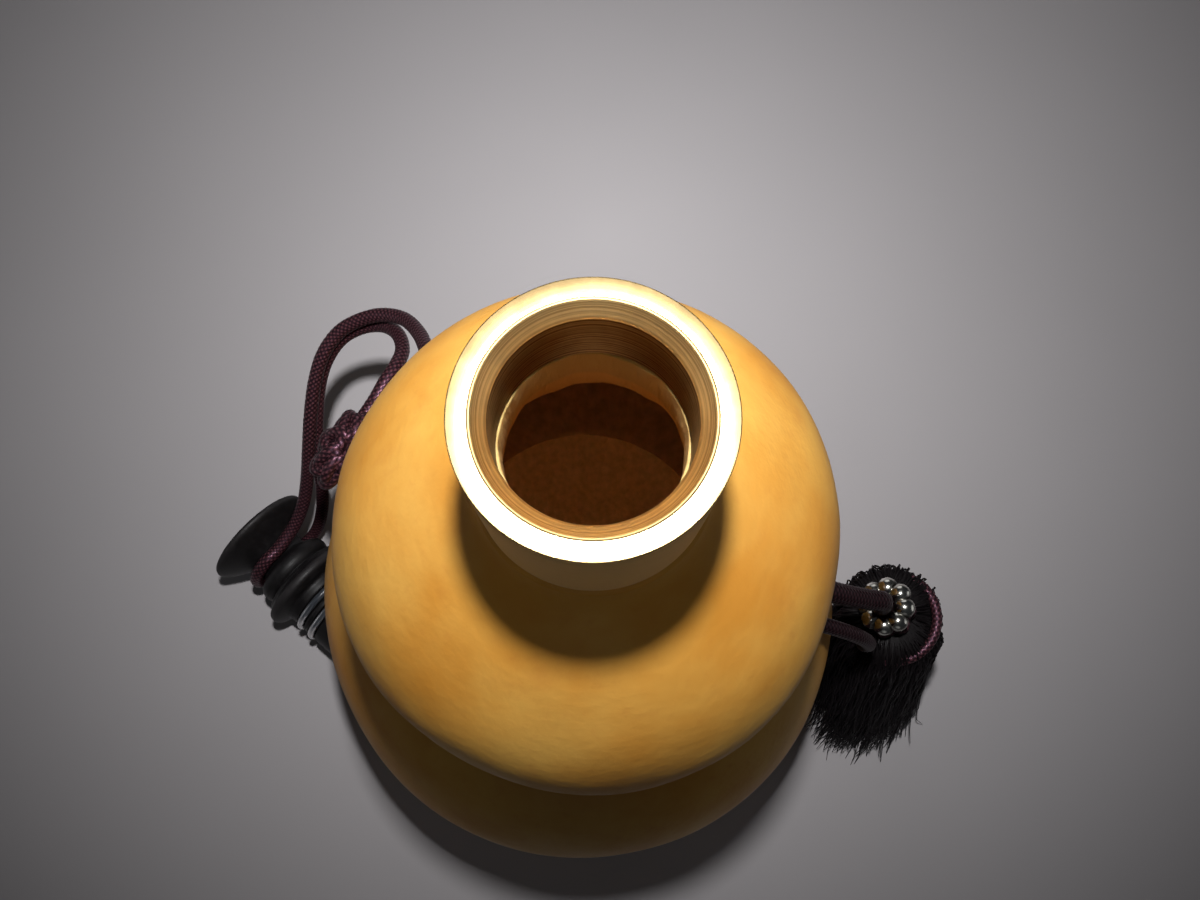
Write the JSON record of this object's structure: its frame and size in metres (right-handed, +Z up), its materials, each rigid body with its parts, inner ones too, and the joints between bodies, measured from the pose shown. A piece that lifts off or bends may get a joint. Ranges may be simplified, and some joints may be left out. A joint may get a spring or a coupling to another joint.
{
  "type": "bottle gourd",
  "caption": "Hollow dried bottle gourd flask with a brass mouth collar, a corded waist, a tethered turned stopper and a tassel.",
  "frame": {"origin": "middle of the flat base that the gourd stands on, under the lower lobe's axis", "axes": "+Z up through the mouth, +X towards the tassel, -X towards the stopper"},
  "size_m": [0.1948, 0.1231, 0.2017],
  "materials": {
    "gourd_skin": "satin, dried and hand-polished",
    "brass": "turned, with a polished top",
    "black_lacquer": "turned and polished",
    "clear_silicone": "translucent",
    "brown_cord": "braided polyester",
    "silver_plate": "plated, tarnished between the balls",
    "black_thread": "loose cut threads"
  },
  "bodies": {
    "root": {"gourd_shell": "gourd_skin", "mouth_collar": "brass", "stopper": "black_lacquer", "stopper_seal_upper": "clear_silicone", "stopper_seal_lower": "clear_silicone", "waist_cord": "brown_cord", "shoulder_cord": "brown_cord", "button_knot": "brown_cord", "leash": "brown_cord", "tassel_cord": "brown_cord", "tassel_lower_cord": "brown_cord", "bead_ring": "silver_plate", "tassel_head": "brown_cord", "tassel_crown": "brown_cord", "tassel_skirt": "black_thread"}
  },
  "joints": []
}
